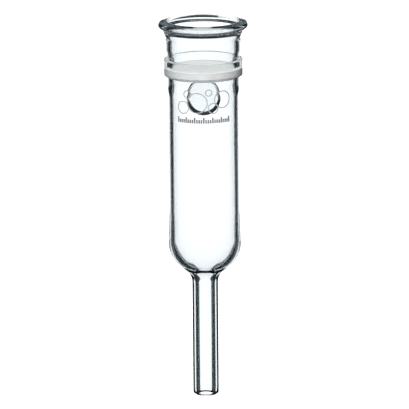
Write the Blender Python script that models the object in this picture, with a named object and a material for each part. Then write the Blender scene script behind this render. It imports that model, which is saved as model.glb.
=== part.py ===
"""Sintered glass gas diffuser: a blown glass tube with a porous disc sealed in below its mouth.

Gas comes up through the stem, fills the chamber and leaves through the disc as fine bubbles. A glass
button on the back of the chamber snaps into a holder. The glassblower's pieces are separate solids. Most of them are
stacked up the tube's axis from the tip of the stem. Lengths are in metres, +Z is up, and the origin is the
centre of the button, which points to +Y from the tube.
"""

import math

import bmesh
import bpy

MM = 0.001

# Driving dimensions
STEM_DIAMETER = 6.75 * MM
STEM_BORE = 3.9 * MM
CHAMBER_DIAMETER = 18.4 * MM
CHAMBER_WALL = 1.1 * MM
MOUTH_DIAMETER = 19.6 * MM
MOUTH_WALL = 1.3 * MM
COLLAR_DIAMETER = 20.5 * MM
RIM_DIAMETER = 23.2 * MM
FRIT_DIAMETER = 19.0 * MM
FRIT_THICKNESS = 2.4 * MM
KNOB_DIAMETER = 10.0 * MM
KNOB_THICKNESS = 2.8 * MM
TOTAL_HEIGHT = 99.55 * MM

# Heights of the seals between the pieces, from the tip of the stem
LIP_HEIGHT = 2.0 * MM
CHAMBER_BOTTOM = 40.6 * MM
COLLAR_BOTTOM = 83.9 * MM
COLLAR_TOP = 90.9 * MM
FRIT_BOTTOM = 84.95 * MM
KNOB_HEIGHT = 77.4 * MM

# Shape of the chamber's round bottom
DOME_RADIUS = 7.7 * MM
CONE_ANGLE = math.radians(52)
COVE_RADIUS = 3.7 * MM
BOTTOM_DEPTH = 5.4 * MM
BORE_ENTRY_RADIUS = 0.9 * MM

# Smaller shapes
SWELL = 0.15 * MM
LOWER_SWELL_LENGTH = 8.0 * MM
UPPER_SWELL_LENGTH = 5.0 * MM
RIM_HEIGHT = 4.65 * MM
RIM_STEP = 0.65 * MM
FLANGE_ROUND = 0.85 * MM
FLANGE_HEIGHT = 3.35 * MM
MOUTH_ROUND = 0.65 * MM
COLLAR_STEP = 0.5 * MM
COLLAR_FOOT = 0.35 * MM
COLLAR_LEDGE = 1.78 * MM
WAIST = 0.4 * MM
LIP_ROUND = 0.75 * MM
LIP_STRETCH = 1.3
LIP_FLAT = 0.35 * MM
NECK_RADIUS = 4.3 * MM
NECK_LENGTH = 1.0 * MM
NECK_FLARE = 0.3 * MM
KNOB_NEAR_ROUND = 0.4 * MM
KNOB_FAR_ROUND = 1.2 * MM

# Neighbouring solids are kept this far apart
SEAL_GAP = 0.3 * MM
SEGMENTS = 40
MERGE_DISTANCE = 1e-7

STEM_RADIUS = STEM_DIAMETER / 2
STEM_BORE_RADIUS = STEM_BORE / 2
CHAMBER_RADIUS = CHAMBER_DIAMETER / 2
CHAMBER_BORE_RADIUS = CHAMBER_RADIUS - CHAMBER_WALL
MOUTH_RADIUS = MOUTH_DIAMETER / 2
MOUTH_BORE_RADIUS = MOUTH_RADIUS - MOUTH_WALL
COLLAR_RADIUS = COLLAR_DIAMETER / 2
FRIT_RADIUS = FRIT_DIAMETER / 2
KNOB_RADIUS = KNOB_DIAMETER / 2


# Outlines: lists of (radius, height) points

def arc(centre, radius, start, end, steps, squash=1.0):
    """Points on a circle round centre, from angle start to angle end in degrees; squash scales its height."""
    angles = [math.radians(start + (end - start) * i / steps) for i in range(steps + 1)]
    return [(centre[0] + radius * math.cos(a), centre[1] + radius * squash * math.sin(a)) for a in angles]


def eased(share):
    """1 at share 0 and 0 at share 1, level at both ends."""
    return (1 + math.cos(math.pi * min(1.0, max(0.0, share)))) / 2


def stem_lip_outline():
    """The square-cut, fire-polished end of the stem: both edges are round, and a narrow flat ring is left."""
    outer = arc((STEM_RADIUS - LIP_ROUND, LIP_STRETCH * LIP_ROUND), LIP_ROUND, 0, -90, 5, squash=LIP_STRETCH)
    inner_round = STEM_RADIUS - LIP_ROUND - LIP_FLAT - STEM_BORE_RADIUS
    inner = arc((STEM_BORE_RADIUS + inner_round, inner_round), inner_round, -90, -180, 3)
    top = LIP_HEIGHT - SEAL_GAP
    return [(STEM_RADIUS, top), *outer, *inner, (STEM_BORE_RADIUS, top)]


def tube_outline(outer_radius, bore_radius, length):
    """A plain length of tube."""
    return [(bore_radius, 0), (outer_radius, 0), (outer_radius, length), (bore_radius, length)]


def shoulder_height():
    """How far the chamber's round bottom rises from the stem to the chamber tube."""
    cone_width = (
        CHAMBER_RADIUS + SWELL - STEM_RADIUS - (DOME_RADIUS + COVE_RADIUS) * (1 - math.cos(CONE_ANGLE))
    )
    return (DOME_RADIUS + COVE_RADIUS) * math.sin(CONE_ANGLE) + cone_width / math.tan(CONE_ANGLE)


def shoulder_outline():
    """Outside, a dome runs into a cone and a cove. Inside, a deeper round bottom meets the stem's bore."""
    height = shoulder_height()
    angle = math.degrees(CONE_ANGLE)
    top = height - SEAL_GAP
    cove = arc((STEM_RADIUS + COVE_RADIUS, 0), COVE_RADIUS, 180, 180 - angle, 4)
    dome = arc((CHAMBER_RADIUS + SWELL - DOME_RADIUS, height), DOME_RADIUS, -angle, 0, 7)
    entry_x = STEM_BORE_RADIUS + BORE_ENTRY_RADIUS
    bottom_width = CHAMBER_BORE_RADIUS - entry_x
    bottom = arc((entry_x, height), bottom_width, 0, -90, 10, squash=BOTTOM_DEPTH / bottom_width)
    entry = arc((entry_x, height - BOTTOM_DEPTH - BORE_ENTRY_RADIUS), BORE_ENTRY_RADIUS, 90, 180, 4)
    return [*cove, *dome[:-1], (dome[-1][0], top), (CHAMBER_BORE_RADIUS, top), *bottom[1:], *entry[1:],
            (STEM_BORE_RADIUS, 0)]


def chamber_outline():
    """A tube that swells a little where the flame softened it, at its two seals."""
    length = COLLAR_BOTTOM - CHAMBER_BOTTOM - SEAL_GAP
    heights = [LOWER_SWELL_LENGTH * i / 5 for i in range(6)]
    heights += [length - UPPER_SWELL_LENGTH * (1 - i / 4) for i in range(5)]
    outer = []
    for z in heights:
        swell = eased(z / LOWER_SWELL_LENGTH) + eased((length - z) / UPPER_SWELL_LENGTH)
        outer.append((CHAMBER_RADIUS + SWELL * swell, z))
    return [(CHAMBER_BORE_RADIUS, 0), *outer, (CHAMBER_BORE_RADIUS, length)]


def collar_outline():
    """The glass that grips the disc: a wider band with a groove inside, drawn in to a waist above it."""
    top = COLLAR_TOP - COLLAR_BOTTOM - SEAL_GAP
    groove_low = FRIT_BOTTOM - COLLAR_BOTTOM - SEAL_GAP
    groove_high = groove_low + FRIT_THICKNESS + 2 * SEAL_GAP
    groove_radius = FRIT_RADIUS + SEAL_GAP
    step = COLLAR_RADIUS - COLLAR_STEP
    waist = MOUTH_RADIUS - WAIST
    band_low = groove_low - COLLAR_FOOT
    band_high = groove_high + COLLAR_LEDGE
    outer = [(CHAMBER_RADIUS + SWELL, 0)]
    outer += arc((step, band_low + COLLAR_STEP), COLLAR_STEP, -60, 0, 4)
    outer += arc((step, band_high - COLLAR_STEP), COLLAR_STEP, 0, 80, 4)
    outer += [(waist, band_high), (MOUTH_RADIUS, top)]
    return [*outer, (MOUTH_BORE_RADIUS, top), (MOUTH_BORE_RADIUS - WAIST, band_high),
            (MOUTH_BORE_RADIUS - WAIST, groove_high), (groove_radius, groove_high),
            (groove_radius, groove_low), (CHAMBER_BORE_RADIUS, groove_low), (CHAMBER_BORE_RADIUS, 0)]


def rim_outline():
    """The end of the mouth, rolled outwards: a step, then a flange whose top slopes down from the mouth."""
    cove = arc((MOUTH_RADIUS + RIM_STEP, RIM_STEP / 2), RIM_STEP, 180, 100, 4)
    flange = arc((RIM_DIAMETER / 2 - FLANGE_ROUND, FLANGE_HEIGHT), FLANGE_ROUND, -100, 70, 14)
    mouth = arc((MOUTH_BORE_RADIUS + MOUTH_ROUND, RIM_HEIGHT - MOUTH_ROUND), MOUTH_ROUND, 90, 180, 7)
    return [(MOUTH_RADIUS, 0), *cove, *flange, *mouth, (MOUTH_BORE_RADIUS, 0)]


def frit_outline():
    """The porous disc, from its axis at the bottom to its axis at the top."""
    return [(0, 0), (FRIT_RADIUS, 0), (FRIT_RADIUS, FRIT_THICKNESS), (0, FRIT_THICKNESS)]


def neck_root():
    """Where the neck's rod starts, far enough inside the chamber's wall for the saddle cut to clean it."""
    root_radius = NECK_RADIUS + NECK_FLARE
    return CHAMBER_RADIUS - root_radius ** 2 / CHAMBER_RADIUS


def knob_distance():
    """From the tube's axis to the button's centre."""
    return CHAMBER_RADIUS + SEAL_GAP + NECK_LENGTH + SEAL_GAP + KNOB_THICKNESS / 2


def neck_outline():
    """A short waisted rod from inside the chamber's wall to the button."""
    buried = CHAMBER_RADIUS + SEAL_GAP - neck_root()
    steps = 6
    side = [(NECK_RADIUS + NECK_FLARE, 0)]
    for i in range(steps + 1):
        share = i / steps
        side.append((NECK_RADIUS + NECK_FLARE * (2 * share - 1) ** 2, buried + NECK_LENGTH * share))
    return [(0, 0), *side, (0, buried + NECK_LENGTH)]


def button_outline():
    """A thick flat button: nearly square where the neck meets it, and well rounded at its free end."""
    half = KNOB_THICKNESS / 2
    near = arc((KNOB_RADIUS - KNOB_NEAR_ROUND, KNOB_NEAR_ROUND - half), KNOB_NEAR_ROUND, -90, 0, 3)
    far = arc((KNOB_RADIUS - KNOB_FAR_ROUND, half - KNOB_FAR_ROUND), KNOB_FAR_ROUND, 0, 90, 7)
    return [(0, -half), *near, *far, (0, half)]


# Objects

def make_material(name, color, roughness, transmission=0.0):
    material = bpy.data.materials.new(name)
    material.use_nodes = True
    shader = material.node_tree.nodes["Principled BSDF"]
    shader.inputs["Base Color"].default_value = (*color, 1.0)
    shader.inputs["Metallic"].default_value = 0.0
    shader.inputs["Roughness"].default_value = roughness
    shader.inputs["Transmission Weight"].default_value = transmission
    return material


def turned(name, outline, material, parent, location=(0, 0, 0), rotation=(0, 0, 0)):
    """A solid of revolution. An outline that starts on the axis ends on it; any other outline is closed."""
    on_axis = outline[0][0] == 0
    mesh = bpy.data.meshes.new(name)
    bm = bmesh.new()
    points = [bm.verts.new((radius, 0, height)) for radius, height in outline]
    edges = [bm.edges.new(pair) for pair in zip(points, points[1:])]
    if not on_axis:
        edges.append(bm.edges.new((points[-1], points[0])))
    bmesh.ops.spin(
        bm, geom=points + edges, cent=(0, 0, 0), axis=(0, 0, 1), angle=2 * math.pi, steps=SEGMENTS,
        use_merge=True, use_duplicate=False,
    )
    bmesh.ops.remove_doubles(bm, verts=bm.verts, dist=MERGE_DISTANCE)
    bmesh.ops.recalc_face_normals(bm, faces=bm.faces)
    bm.to_mesh(mesh)
    bm.free()
    mesh.shade_smooth()
    mesh.set_sharp_from_angle(angle=math.radians(35))
    if material:
        mesh.materials.append(material)
    obj = bpy.data.objects.new(name, mesh)
    obj.location = location
    obj.rotation_euler = rotation
    obj.parent = parent
    bpy.context.scene.collection.objects.link(obj)
    return obj


def wall_cutter(parent):
    """A rod as wide as the chamber and the gap round it, which gives the neck its saddle."""
    radius = CHAMBER_RADIUS + SEAL_GAP
    outline = [(0, 0), (radius, 0), (radius, 2 * KNOB_DIAMETER), (0, 2 * KNOB_DIAMETER)]
    cutter = turned("wall_cutter", outline, None, parent, location=(0, 0, KNOB_HEIGHT - KNOB_DIAMETER))
    cutter.hide_render = True
    cutter.display_type = "WIRE"
    return cutter


def cut(obj, cutter):
    modifier = obj.modifiers.new("cut", "BOOLEAN")
    modifier.operation = "DIFFERENCE"
    modifier.solver = "EXACT"
    modifier.object = cutter


def clear_scene():
    for obj in list(bpy.data.objects):
        bpy.data.objects.remove(obj, do_unlink=True)


def main():
    clear_scene()
    glass = make_material("clear_glass", (0.93, 0.97, 0.98), 0.02, transmission=0.9)
    sinter = make_material("sintered_white", (0.86, 0.87, 0.85), 0.9)

    # The button's centre is the origin, so the tube's axis stands in front of it and starts below it
    axis = bpy.data.objects.new("tube_axis", None)
    axis.location = (0, -knob_distance(), -KNOB_HEIGHT)
    bpy.context.scene.collection.objects.link(axis)

    shoulder_bottom = CHAMBER_BOTTOM - shoulder_height()
    rim_bottom = TOTAL_HEIGHT - RIM_HEIGHT
    stem_length = shoulder_bottom - LIP_HEIGHT - SEAL_GAP
    mouth_length = rim_bottom - COLLAR_TOP - SEAL_GAP

    def stack(name, outline, height, material=glass):
        return turned(name, outline, material, axis, location=(0, 0, height))

    stack("stem_lip", stem_lip_outline(), 0)
    stack("stem_tube", tube_outline(STEM_RADIUS, STEM_BORE_RADIUS, stem_length), LIP_HEIGHT)
    stack("chamber_shoulder", shoulder_outline(), shoulder_bottom)
    stack("chamber_tube", chamber_outline(), CHAMBER_BOTTOM)
    stack("frit_collar", collar_outline(), COLLAR_BOTTOM)
    stack("frit_disc", frit_outline(), FRIT_BOTTOM, sinter)
    stack("mouth_tube", tube_outline(MOUTH_RADIUS, MOUTH_BORE_RADIUS, mouth_length), COLLAR_TOP)
    stack("mouth_rim", rim_outline(), rim_bottom)

    # The knob is turned upright and then laid along +Y
    backwards = (-math.pi / 2, 0, 0)
    neck = turned("knob_neck", neck_outline(), glass, axis, (0, neck_root(), KNOB_HEIGHT), backwards)
    cut(neck, wall_cutter(axis))
    turned("knob_button", button_outline(), glass, axis, (0, knob_distance(), KNOB_HEIGHT), backwards)


main()
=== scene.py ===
# %% [markdown]
# # A gas diffuser of blown glass
# A clear glass tube in front of a lit white card. Gas enters through the narrow stem, fills the chamber and
# leaves through a porous disc as a mist of bubbles. Clear glass has no colour of its own. What shows its
# shape is the dark room beside the card, which its edges bend into view. So both faces of every wall matter
# here, and the card gets as much care as the glass.

import math

import bmesh
import bpy
import numpy as np
from mathutils import Matrix, Vector


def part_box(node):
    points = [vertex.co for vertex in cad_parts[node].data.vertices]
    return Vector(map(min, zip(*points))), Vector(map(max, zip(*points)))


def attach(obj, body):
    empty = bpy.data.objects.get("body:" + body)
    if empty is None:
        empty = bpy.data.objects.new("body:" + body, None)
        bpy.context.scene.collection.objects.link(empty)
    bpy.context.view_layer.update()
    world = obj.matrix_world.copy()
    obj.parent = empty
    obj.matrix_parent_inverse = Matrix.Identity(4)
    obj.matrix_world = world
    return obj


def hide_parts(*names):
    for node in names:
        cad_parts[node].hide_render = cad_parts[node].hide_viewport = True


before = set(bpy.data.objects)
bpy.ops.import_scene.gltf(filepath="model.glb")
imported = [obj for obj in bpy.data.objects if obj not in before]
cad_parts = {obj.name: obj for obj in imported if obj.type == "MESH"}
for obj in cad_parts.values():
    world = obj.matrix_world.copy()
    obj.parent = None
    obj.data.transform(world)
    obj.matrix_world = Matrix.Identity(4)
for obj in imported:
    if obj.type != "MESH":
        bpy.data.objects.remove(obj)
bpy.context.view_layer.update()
MM = 0.001

# %% [markdown]
# Every size that the frame knows is read from it: where the tube's axis stands, how wide each tube is and how
# high each seal lies. Only what a box can't tell is named here, such as how thick the walls are. From here
# on, heights count from the tip of the stem, and the finished meshes are moved into place at the end.

# %% Sizes
low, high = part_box("chamber_tube")
AXIS_X = (low.x + high.x) / 2
AXIS_Y = (low.y + high.y) / 2
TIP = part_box("stem_lip")[0].z


def radius_of(node):
    """Half of a node's width, in millimetres."""
    low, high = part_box(node)
    return (high.x - low.x) / 2 / MM


def height_of(node, end):
    """Height of a node's lower end (0) or upper end (1) above the tip of the stem, in millimetres."""
    return (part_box(node)[end].z - TIP) / MM


SWELL = 0.15  # by which the frame's chamber stands out at its widest
STEM = radius_of("stem_tube")
MOUTH = radius_of("mouth_tube")
COLLAR = radius_of("frit_collar")
RIM = radius_of("mouth_rim")
CHAMBER = radius_of("chamber_tube") - SWELL
TOP = height_of("mouth_rim", 1)
FRIT_LOW = height_of("frit_disc", 0)
FRIT_HIGH = height_of("frit_disc", 1)
SHOULDER = height_of("chamber_shoulder", 1)
BORE = 1.95
CHAMBER_WALL = 1.1
MOUTH_WALL = 1.3
LEDGE = FRIT_HIGH + 2.08  # the collar's upper edge
DISC = COLLAR - 0.2
FOOT = 0.25  # how far the chamber widens into the collar
WAIST = 0.4  # how far the wall is drawn in above the disc
print(f"tube {TOP:.1f} mm tall, chamber {2 * CHAMBER:.1f} mm wide, stem {2 * STEM:.1f} mm wide")

# %% [markdown]
# A glassblower works a turning tube, so every piece here is turned too: an outline in radius and height is
# carried round the axis. An outline is written as a few corners, each with the radius that the flame has
# rounded it to. Straight runs get one more point close to each arc, so that the smooth shading of the arc
# doesn't leak along the run and bend what is seen through it.

# %% Outlines
ARC_STEP = math.radians(7)
GUARD = 0.2


def rounded(corners, closed=True):
    """An outline through corners (x, y, rounding). At each corner an arc of that radius touches both sides:
    it starts rounding * tan(turn / 2) before the corner and turns by the angle between the sides."""
    corners = np.array(corners, float)
    points, rounding = corners[:, :2], corners[:, 2]
    before = np.roll(points, 1, axis=0)
    after = np.roll(points, -1, axis=0)
    outline = []
    for i, (corner, size) in enumerate(zip(points, rounding)):
        if size == 0 or not closed and i in (0, len(points) - 1):
            outline.append(corner[None])
            continue
        into = (corner - before[i]) / np.linalg.norm(corner - before[i])
        out = (after[i] - corner) / np.linalg.norm(after[i] - corner)
        turn = math.atan2(into[0] * out[1] - into[1] * out[0], into @ out)
        reach = size * math.tan(abs(turn) / 2)
        side = np.sign(turn) * np.array([-into[1], into[0]])
        centre = corner - into * reach + side * size
        steps = max(2, math.ceil(abs(turn) / ARC_STEP))
        angle = np.linspace(0, turn, steps + 1)[:, None]
        spoke = -side * size
        across = np.array([-spoke[1], spoke[0]])
        arc = centre + spoke * np.cos(angle) + across * np.sin(angle)
        outline.append(np.vstack([arc[0] - into * GUARD, arc, arc[-1] + out * GUARD]))
    return np.vstack(outline)


def turned(outline, segments=192, closed=True):
    """Carries an outline round the axis: x = radius cos(angle), y = radius sin(angle), z = height.
    Gives the points, and the four-sided faces between neighbouring outline points and angles."""
    angle = np.linspace(0, 2 * math.pi, segments, endpoint=False)
    radius, height = outline.T
    points = np.stack([
        radius[:, None] * np.cos(angle),
        radius[:, None] * np.sin(angle),
        np.broadcast_to(height[:, None], (len(outline), segments)),
    ], axis=-1)
    count = len(outline)
    row = np.arange(count if closed else count - 1)[:, None]
    column = np.arange(segments)[None]
    next_row = (row + 1) % count
    next_column = (column + 1) % segments
    faces = np.stack([
        row * segments + column,
        row * segments + next_column,
        next_row * segments + next_column,
        next_row * segments + column,
    ], axis=-1)
    return points.reshape(-1, 3), faces.reshape(-1, 4)


# %% [markdown]
# A tube that was turned by hand in a flame is never perfectly round. Where it was softened, at the mouth and
# at the shoulder, its radius wanders by a few hundredths of a millimetre. That is too little to see as a
# shape, but glass magnifies it: the dark lines of the rim stop being perfect mirror images.
#
# Every piece is also checked for which side of its faces is out. Blender guesses that from one face, and for
# a tube it can guess wrong. Glass that is inside out goes black, so the volume it encloses has the last word.

# %% Hand work
def hand_worked(points):
    """Each point's radius is multiplied by 1 + depth * near(height) * a slow wave of its angle. near is a
    bell curve round a worked height: e to the power of -(distance / reach) squared."""
    x, y, z = points.T
    angle = np.arctan2(y, x)
    scale = np.ones(len(points))
    worked = ((TOP, 3.5, 0.006, 2, 0.5), (SHOULDER - 6, 5.0, 0.006, 3, 1.2), (0, 2.0, 0.008, 2, 2.0))
    for height, reach, depth, waves, turn in worked:
        near = np.exp(-((z - height) / reach) ** 2)
        scale += depth * near * np.cos(waves * angle + turn)
    return np.stack([x * scale, y * scale, z], axis=-1)


def in_place(points):
    """Points in millimetres round the tube's own axis, moved to the frame in metres."""
    return points * MM + np.array([AXIS_X, AXIS_Y, TIP])


def piece(name, points, faces, body="root"):
    """A mesh object at the origin. Points that coincide are merged, so poles close. The faces are made to
    agree with one another, and if they then enclose less than nothing, all of them are turned outwards."""
    mesh = bpy.data.meshes.new(name)
    mesh.from_pydata(in_place(points).tolist(), [], faces.tolist())
    bm = bmesh.new()
    bm.from_mesh(mesh)
    bmesh.ops.remove_doubles(bm, verts=bm.verts, dist=0.001 * MM)
    bmesh.ops.recalc_face_normals(bm, faces=bm.faces)
    if bm.calc_volume(signed=True) < 0:
        bmesh.ops.reverse_faces(bm, faces=bm.faces)
    volume = bm.calc_volume(signed=True) / MM ** 3
    bm.to_mesh(mesh)
    bm.free()
    mesh.shade_smooth()
    mesh.set_sharp_from_angle(angle=math.radians(60))
    obj = bpy.data.objects.new(name, mesh)
    bpy.context.scene.collection.objects.link(obj)
    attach(obj, body)
    print(f"{name}: {len(mesh.vertices)} points, {len(mesh.polygons)} faces, {volume:.1f} cubic millimetres")
    return obj


# %% [markdown]
# Chamber and stem are one continuous wall. Outside, the chamber swells a little at its lower end and runs
# through a dome, a cone and a wide cove into the stem. Inside, its round bottom meets the bore, which leaves
# the glass thick at the neck. The wall's top is the lower edge of the collar, sealed to the disc's edge.

# %% Chamber and stem
SWELL_START = 49.0
DOME_HEIGHT, DOME_SWELL, DOME_ROUND = 37.1, 0.38, 7.7
COVE_HEIGHT, COVE_ROUND = 31.85, 3.9
BOWL_HEIGHT, BOWL_ROUND = 37.2, 7.4
BORE_TOP, BORE_ROUND = 33.2, 3.4
LIP_ROUND = 0.9


def chamber_outline():
    """From the seal at the disc down the outside to the tip, and up the bore and the inner wall again."""
    seam = FRIT_LOW + 0.4
    inner = CHAMBER - CHAMBER_WALL
    return rounded([
        (COLLAR, seam, 0),
        (COLLAR, FRIT_LOW + 0.3, 0.25),
        (CHAMBER + FOOT, FRIT_LOW, 0.25),
        (CHAMBER + FOOT, FRIT_LOW - 2.7, 4.0),
        (CHAMBER, FRIT_LOW - 4.7, 8.0),
        (CHAMBER, SWELL_START, 40.0),
        (CHAMBER + DOME_SWELL, DOME_HEIGHT, DOME_ROUND),
        (STEM, COVE_HEIGHT, COVE_ROUND),
        (STEM, 15.0, 0),
        (STEM, 0.0, LIP_ROUND),
        (BORE - 0.1, 0.0, 0.4),
        (BORE, 2.0, 0),
        (BORE, 15.0, 0),
        (BORE, BORE_TOP, BORE_ROUND),
        (inner, BOWL_HEIGHT, BOWL_ROUND),
        (inner, 60.0, 0),
        (inner, FRIT_LOW - 2.0, 0),
        (inner, seam, 0),
    ])


def chamber_points():
    points, faces = turned(chamber_outline())
    return hand_worked(points), faces


glass_body = piece("chamber_and_stem", *chamber_points())

# %% [markdown]
# The mouth is a short wide tube. Its end was softened, flared and rolled out into a thick flange, with a step
# under it where the roll ends. Inside and outside follow each other there and at the waist that the flame
# drew in above the disc: a wall of even thickness hardly bends what is seen through it, and a wedge does.

# %% Mouth
FLARE = 0.4
STEP_UNDER, STEP_FOOT = 10.62, 10.3


def mouth_outline():
    """From the seal at the disc's upper edge up the inner wall, over the flange, and down the outside."""
    seam = FRIT_HIGH - 0.4
    inner = MOUTH - MOUTH_WALL
    return rounded([
        (COLLAR, seam, 0),
        (inner - WAIST, seam, 0),
        (inner - WAIST, LEDGE + 0.1, 1.6),
        (inner, LEDGE + 2.4, 3.7),
        (inner, TOP - 4.9, 3.3),
        (inner + FLARE, TOP - 3.3, 2.0),
        (inner + FLARE, TOP + 0.05, 0.65),
        (RIM - 0.1, TOP - 0.5, 0.9),
        (RIM + 0.05, TOP - 1.8, 0.7),
        (STEP_UNDER, TOP - 2.25, 0.3),
        (STEP_FOOT, TOP - 3.1, 0.9),
        (MOUTH, TOP - 4.7, 2.0),
        (MOUTH, LEDGE + 2.4, 5.0),
        (MOUTH - WAIST, LEDGE + 0.1, 0.2),
        (COLLAR, LEDGE, 0.25),
    ])


def mouth_points():
    points, faces = turned(mouth_outline())
    return hand_worked(points), faces


mouth = piece("mouth", *mouth_points())

# %% [markdown]
# The band of glass round the disc is thin. It was melted onto the disc's edge, so no air is left between
# them: the disc reaches a little into the glass, and looks as wide as the band.

# %% Collar
def collar_outline():
    """A closed band between the two seals."""
    low, high = FRIT_LOW + 0.42, FRIT_HIGH - 0.42
    return rounded([
        (COLLAR, low, 0),
        (COLLAR + 0.02, (low + high) / 2, 20.0),
        (COLLAR, high, 0),
        (DISC - 0.3, high, 0),
        (DISC - 0.3, low, 0),
    ])


collar = piece("collar", *turned(collar_outline()))

# %% [markdown]
# The disc is glass powder, pressed and baked until the grains just stick. It is the only piece that lets no
# light straight through. Its flat faces get rings of points, so that the mesh has no long thin triangles.

# %% Porous disc
EDGE_BAND = 1.2  # the outer ring of a face, next to the broken edge
RINGS = 40


def disc_outline():
    """From the axis below to the axis above, with softly broken edges."""
    rings = np.linspace(0, 1, RINGS)[1:-1, None] * (DISC - EDGE_BAND)
    low = np.hstack([rings, np.full_like(rings, FRIT_LOW)])
    high = np.hstack([rings[::-1], np.full_like(rings, FRIT_HIGH)])
    corners = rounded([
        (DISC - EDGE_BAND, FRIT_LOW, 0),
        (DISC - 0.1, FRIT_LOW, 0.6),
        (DISC, FRIT_HIGH, 0.15),
        (DISC - EDGE_BAND, FRIT_HIGH, 0),
    ], closed=False)
    return np.vstack([[0, FRIT_LOW], low, corners, high, [0, FRIT_HIGH]])


disc = piece("porous_disc", *turned(disc_outline(), closed=False))

# %% [markdown]
# The knob is a low wide button of glass, pressed against the soft wall with a slight waist at its root, for a
# holder to grip. It is turned about its own axis, which points backwards out of the chamber's wall, and its
# root follows the round of that wall.

# %% Knob
knob_low, knob_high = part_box("knob_button")
KNOB = radius_of("knob_button")
KNOB_LONG = (knob_high.y - AXIS_Y) / MM - CHAMBER
KNOB_HEIGHT = ((knob_low.z + knob_high.z) / 2 - TIP) / MM
SADDLE_REACH = 2.0  # how far along the knob its root still follows the wall
SEAL = 0.02  # keeps the knob's root and the wall from sharing a surface


def knob_points():
    """The outline in distance from the knob's axis and length along it, turned, and then laid along +Y.
    A point near the wall is moved back by radius - sqrt(radius^2 - x^2), so the root is a saddle."""
    outline = rounded([
        (0, 0, 0),
        (KNOB - 0.2, 0, 0),
        (KNOB - 0.5, 1.2, 1.2),
        (KNOB, 2.2, 0.8),
        (KNOB, KNOB_LONG, 1.5),
        (0, KNOB_LONG, 0),
    ], closed=False)
    points, faces = turned(outline, segments=128, closed=False)
    across, up, along = points.T
    root = CHAMBER + SEAL
    saddle = root - np.sqrt(root ** 2 - across ** 2)
    share = np.clip(1 - along / SADDLE_REACH, 0, 1)
    return np.stack([across, root + along - saddle * share, up + KNOB_HEIGHT], axis=-1), faces


knob = piece("button_knob", *knob_points())

# %% [markdown]
# The front of the chamber carries a mark fired on in enamel. A plain one stands here: outlined bubbles over
# a row of short strokes. Each is drawn flat, as a thin closed band, and then wrapped round the glass.

# %% Enamel mark
def wrapped(flat):
    """Bends flat points (across, up, out) round the chamber: the angle is across / radius, and out is
    counted from just under the glass, so that the enamel has no gap behind it."""
    across, up, out = flat.T
    angle = across / CHAMBER
    radius = CHAMBER - 0.02 + out
    return np.stack([radius * np.sin(angle), -radius * np.cos(angle), up], axis=-1)


def bubble(across, up, radius, width=0.26, thick=0.06):
    """A ring of that radius: a small rectangle, width by thick, turned round the ring's middle."""
    inner, outer = radius - width / 2, radius + width / 2
    points, faces = turned(np.array([(inner, 0), (outer, 0), (outer, thick), (inner, thick)]), segments=64)
    return points + np.array([across, up, 0]), faces


def strokes(across, up, heights, width=0.38, thick=0.06):
    """A row of upright bars. A bar is the eight corners of a box, times its size, plus its place."""
    corner = np.array([(x, y, z) for z in (0, 1) for x, y in ((-0.5, 0), (0.5, 0), (0.5, 1), (-0.5, 1))])
    size = np.stack([np.full_like(heights, width), heights, np.full_like(heights, thick)], axis=-1)
    place = np.stack([across, np.full_like(across, up), np.zeros_like(across)], axis=-1)
    box = np.array([(3, 2, 1, 0), (4, 5, 6, 7), (0, 1, 5, 4), (1, 2, 6, 5), (2, 3, 7, 6), (3, 0, 4, 7)])
    points = corner[None] * size[:, None] + place[:, None]
    faces = box[None] + 8 * np.arange(len(heights))[:, None, None]
    return points.reshape(-1, 3), faces.reshape(-1, 4)


def joined(*parts):
    """Several (points, faces) as one, with each part's face numbers moved on by the points before it."""
    before = np.cumsum([0] + [len(points) for points, _ in parts[:-1]])
    faces = [faces + start for (_, faces), start in zip(parts, before)]
    return np.vstack([points for points, _ in parts]), np.vstack(faces)


MARK = FRIT_LOW - 5.3
STROKES = 25
ROW_HALF, ROW_BELOW = 7.1, 5.6
bubbles = [
    (-5.6, -1.6, 1.6), (-4.3, 1.9, 1.0), (-1.7, -0.3, 2.6),
    (1.3, 2.4, 0.8), (2.5, -1.7, 1.3), (5.1, 0.5, 2.2),
]
flat, faces = joined(*[bubble(across, MARK + up, radius) for across, up, radius in bubbles])
bubble_mark = piece("bubble_mark", wrapped(flat), faces)
row = np.linspace(-ROW_HALF, ROW_HALF, STROKES)
stroke_heights = np.where(np.arange(STROKES) % 4 == 0, 1.5, 0.95)
flat, faces = strokes(row, MARK - ROW_BELOW, stroke_heights)
scale_mark = piece("scale_mark", wrapped(flat), faces)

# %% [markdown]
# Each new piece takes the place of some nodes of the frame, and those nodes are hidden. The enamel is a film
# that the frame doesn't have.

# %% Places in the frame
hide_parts("chamber_tube", "chamber_shoulder", "stem_tube", "stem_lip")
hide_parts("mouth_tube", "mouth_rim")
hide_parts("frit_collar")
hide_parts("frit_disc")
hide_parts("knob_neck", "knob_button")
print("nodes replaced:", len(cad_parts))


# %% [markdown]
# Materials are written as arithmetic. `Value` wraps one output of a node, and adding or multiplying values
# adds the Math node that does it. `Finish` is a material in the making, and its `node` method adds any other
# node.

# %% Shader arithmetic
class Value:
    """A number that a material works out at each point. Arithmetic on it adds Math nodes."""

    def __init__(self, finish, socket):
        self.finish = finish
        self.socket = socket

    def math(self, operation, left, right):
        return self.finish.node("ShaderNodeMath", {"operation": operation}, {0: left, 1: right})

    def __add__(self, other):
        return self.math("ADD", self, other)

    def __radd__(self, other):
        return self.math("ADD", other, self)

    def __mul__(self, other):
        return self.math("MULTIPLY", self, other)

    def __rmul__(self, other):
        return self.math("MULTIPLY", other, self)


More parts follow.
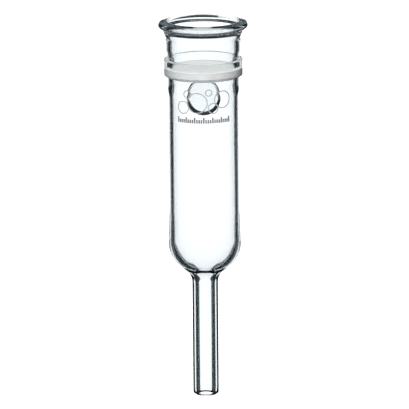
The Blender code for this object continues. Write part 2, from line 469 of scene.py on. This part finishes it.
class Finish:
    """A material in the making, with its Principled shader."""

    def __init__(self, name):
        self.material = bpy.data.materials.new(name)
        self.material.use_nodes = True
        self.tree = self.material.node_tree
        self.shader = self.tree.nodes["Principled BSDF"]

    def connect(self, node, inputs):
        """Sets a node's sockets, by name or number, to numbers, colours or Values."""
        for key, value in inputs.items():
            if isinstance(value, Value):
                self.tree.links.new(value.socket, node.inputs[key])
            else:
                node.inputs[key].default_value = value

    def node(self, kind, settings, inputs, output=0):
        """Adds a node of that type. Its settings come first, because they decide which sockets it has."""
        node = self.tree.nodes.new(kind)
        for key, value in settings.items():
            setattr(node, key, value)
        self.connect(node, inputs)
        return Value(self, node.outputs[output])

    def place(self, stretch=(1, 1, 1)):
        """The point in the object, in millimetres from the tube's axis and tip, with each axis stretched."""
        point = self.node("ShaderNodeTexCoord", {}, {}, "Object")
        scale = [s / MM for s in stretch]
        centre = [-s * c / MM for s, c in zip(stretch, (AXIS_X, AXIS_Y, TIP))]
        return self.node("ShaderNodeMapping", {}, {"Vector": point, "Scale": scale, "Location": centre})

    def noise(self, point, scale, detail=2.0):
        return self.node("ShaderNodeTexNoise", {}, {"Vector": point, "Scale": scale, "Detail": detail}, "Fac")

    def step(self, value, start, end):
        """0 below start, 1 above end, and smooth between them."""
        return self.node("ShaderNodeMapRange", {"interpolation_type": "SMOOTHSTEP"},
                         {"Value": value, "From Min": start, "From Max": end})

    def mix(self, share, first, second):
        """A colour between first (share 0) and second (share 1)."""
        return self.node("ShaderNodeMix", {"data_type": "RGBA"}, {0: share, 6: first, 7: second}, 2)

    def bump(self, height, distance, strength=1.0):
        return self.node("ShaderNodeBump", {},
                         {"Height": height, "Distance": distance, "Strength": strength}, "Normal")


# %% [markdown]
# Clear glass bends light with an index of about 1.5. Drawn tube keeps faint streaks along its length, and
# hands leave patches of haze. Both are far too weak to see as such, but they break up the edges a little. The
# glass also takes some light on the way through it, so the long ways along a wall are greyer than the short
# ways across it. The tube's glass does so clearly, and the clearer rod of the knob hardly does.

# %% Clear glass
def clear_glass(name, density):
    """Glass that takes a share of the light in proportion to density times the way through it."""
    finish = Finish(name)
    streaks = finish.noise(finish.place((1, 1, 0.04)), 0.9)
    haze = finish.step(finish.noise(finish.place(), 0.16, 4.0), 0.52, 0.75)
    tint = finish.step(streaks, 0.3, 0.7)
    finish.connect(finish.shader, {
        "Base Color": finish.mix(tint, (0.988, 0.996, 0.998, 1), (0.978, 0.990, 0.996, 1)),
        "Roughness": 0.012 * haze,
        "IOR": 1.5,
        "Transmission Weight": 1.0,
        "Normal": finish.bump(streaks, 0.004 * MM),
    })
    body = finish.node("ShaderNodeVolumeAbsorption", {}, {"Color": (0.36, 0.43, 0.47, 1), "Density": density})
    finish.connect(finish.tree.nodes["Material Output"], {"Volume": body})
    return finish.material


TUBE_DENSITY, ROD_DENSITY = 150.0, 25.0
tube_glass = clear_glass("tube_glass", TUBE_DENSITY)
rod_glass = clear_glass("rod_glass", ROD_DENSITY)
for part, glass in ((glass_body, tube_glass), (mouth, tube_glass), (collar, tube_glass), (knob, rod_glass)):
    part.data.materials.append(glass)
    part.visible_shadow = False
    print(f"{glass.name} on {part.name}")

# %% [markdown]
# The sintered disc is matt and slightly warm grey-white. Two sizes of noise make it: grains of a tenth of a
# millimetre, whose darker spots are painted shade between the grains, and broad cloudy patches where the
# powder was packed unevenly, which are the powder's own tone.

# %% Sintered glass
def sintered_glass():
    finish = Finish("sintered_glass")
    point = finish.place()
    grain = finish.noise(point, 4.0, 3.0)
    clouds = finish.noise(point, 0.35, 2.0)
    # The grain part of this share is painted shade between the grains; the cloud part is the powder's own
    # uneven tone.
    light = finish.step(0.55 * grain + 0.45 * clouds, 0.35, 0.65)
    finish.connect(finish.shader, {
        "Base Color": finish.mix(light, (0.78, 0.80, 0.775, 1), (0.90, 0.91, 0.895, 1)),
        "Roughness": 0.85 + 0.1 * grain,
        "IOR": 1.3,
        "Normal": finish.bump(grain, 0.05 * MM, 0.7),
    })
    return finish.material


disc.data.materials.append(sintered_glass())
print("sinter on one piece")

# %% [markdown]
# The enamel is a thin grey film, denser in the strokes than in the outlines. It is fired on through a mesh,
# so its ink lies unevenly, and it wears where it is touched.

# %% Enamel
def enamel(name, colour):
    finish = Finish(name)
    point = finish.place()
    ink = finish.step(finish.noise(point, 2.5, 3.0), 0.3, 0.7)
    worn = tuple(1 - 0.8 * (1 - c) for c in colour[:3]) + (1,)
    finish.connect(finish.shader, {
        "Base Color": finish.mix(ink, worn, colour),
        "Roughness": 0.35 + 0.2 * ink,
        "Normal": finish.bump(ink, 0.01 * MM),
    })
    return finish.material


bubble_mark.data.materials.append(enamel("enamel_outline", (0.50, 0.51, 0.50, 1)))
scale_mark.data.materials.append(enamel("enamel_strokes", (0.10, 0.105, 0.11, 1)))
print("enamel on two pieces")

# %% [markdown]
# The camera looks slightly down at the tube from a metre and a half away, through a long lens, so the tube's
# sides stay nearly parallel.

# %% Camera
scene = bpy.context.scene
DISTANCE = 1.5
FRAME_WIDTH = 0.1063
ELEVATION = math.radians(12.5)
ROLL = math.radians(0.5)
SENSOR = 36
aim = Vector((AXIS_X, AXIS_Y, TIP + 50.69 * MM))
camera_data = bpy.data.cameras.new("camera")
camera_data.sensor_width = SENSOR
camera_data.lens = SENSOR * DISTANCE / FRAME_WIDTH
camera_data.clip_end = 5
camera = bpy.data.objects.new("camera", camera_data)
scene.collection.objects.link(camera)
camera.location = aim + Vector((0, -math.cos(ELEVATION), math.sin(ELEVATION))) * DISTANCE
tilt = Matrix.Rotation(math.pi / 2 - ELEVATION, 3, "X")
camera.rotation_euler = (tilt @ Matrix.Rotation(-ROLL, 3, "Z")).to_euler()
scene.camera = camera
print(f"camera {DISTANCE} m away, lens {camera_data.lens:.0f} mm")

# %% [markdown]
# Clear glass shows best against a bright card in a dark room. Light from the card goes straight through the
# middle of a tube, while its edges bend the dark room into view and become black lines. How wide the card
# looks from the tube decides how wide those lines are, and it fades over its last few degrees, so that they
# end softly. The card hangs on the camera, so the glass is seen against it from every side.

# %% Light card
CARD_BEHIND = 0.5
CARD_BRIGHTNESS = 1.6
CARD_RIM = (0.08, 0.09, 0.1, 1)
CARD_HALF = CARD_BEHIND * math.tan(math.radians(25))
CARD_FLAT = CARD_BEHIND * math.tan(math.radians(21))


def light_card():
    """A glowing square behind the tube. Its glow is even in the middle and falls smoothly near its sides."""
    mesh = bpy.data.meshes.new("light_card")
    corner = np.array([(-1, -1, 0), (1, -1, 0), (1, 1, 0), (-1, 1, 0)]) * CARD_HALF
    mesh.from_pydata(corner.tolist(), [], [(0, 1, 2, 3)])
    card = bpy.data.objects.new("light_card", mesh)
    scene.collection.objects.link(card)
    card.parent = camera
    card.location = (0, 0, -DISTANCE - CARD_BEHIND)
    card.visible_diffuse = False
    finish = Finish("light_card")
    point = finish.node("ShaderNodeTexCoord", {}, {}, "Object")
    reach = finish.node("ShaderNodeVectorMath", {"operation": "LENGTH"}, {0: point}, "Value")
    fade = finish.step(reach, CARD_FLAT, CARD_HALF)
    finish.connect(finish.shader, {
        "Base Color": (0, 0, 0, 1),
        "Specular IOR Level": 0.0,
        "Emission Color": finish.mix(fade, (1, 1, 1, 1), CARD_RIM),
        "Emission Strength": CARD_BRIGHTNESS,
    })
    mesh.materials.append(finish.material)


light_card()
print(f"card {2 * CARD_HALF:.2f} m wide")

# %% [markdown]
# The porous disc and the enamel need light from the front and from above. Two large soft lamps give it. They
# are hidden from the glass, which would otherwise show them as white squares.

# %% Soft lamps
def lamp(name, place, size, power):
    """A square lamp at a place seen from the camera, turned to the tube."""
    data = bpy.data.lights.new(name, "AREA")
    data.shape = "SQUARE"
    data.size = size
    data.energy = power
    made = bpy.data.objects.new(name, data)
    scene.collection.objects.link(made)
    made.parent = camera
    made.location = place
    made.rotation_euler = (Vector(place) - Vector((0, 0, -DISTANCE))).to_track_quat("Z", "Y").to_euler()
    made.visible_camera = False
    made.visible_glossy = False
    made.visible_transmission = False


lamp("top_light", (0, 0.9, -DISTANCE), 0.6, 6.5)
lamp("front_light", (-0.15, 0.25, -0.4), 0.6, 12)

world = bpy.data.worlds.new("world")
world.use_nodes = True
world.node_tree.nodes["Background"].inputs["Color"].default_value = (0.02, 0.03, 0.035, 1)
scene.world = world
scene.view_settings.view_transform = "Standard"
scene.cycles.max_bounces = scene.cycles.transmission_bounces = 32
scene.cycles.glossy_bounces = 16

# %% [markdown]
# The tube hangs by its knob, so the floor is a plain pale sheet well below it. Like the lamps it is hidden
# from the glass, whose black edges it would otherwise turn grey.

# %% Floor
FLOOR_DROP = 0.85


def floor_sheet(half=2.0):
    """A flat square under everything, of that half width in metres."""
    mesh = bpy.data.meshes.new("floor")
    corner = np.array([(-half, -half), (half, -half), (half, half), (-half, half)])
    points = np.column_stack([corner, np.full(4, TIP - FLOOR_DROP)])
    mesh.from_pydata(points.tolist(), [], [(0, 1, 2, 3)])
    floor = bpy.data.objects.new("floor", mesh)
    scene.collection.objects.link(floor)
    finish = Finish("floor")
    finish.connect(finish.shader, {"Base Color": (0.8, 0.8, 0.79, 1), "Roughness": 0.9})
    mesh.materials.append(finish.material)
    floor.visible_glossy = False
    floor.visible_transmission = False


floor_sheet()
print(f"floor {FLOOR_DROP} m below the stem")
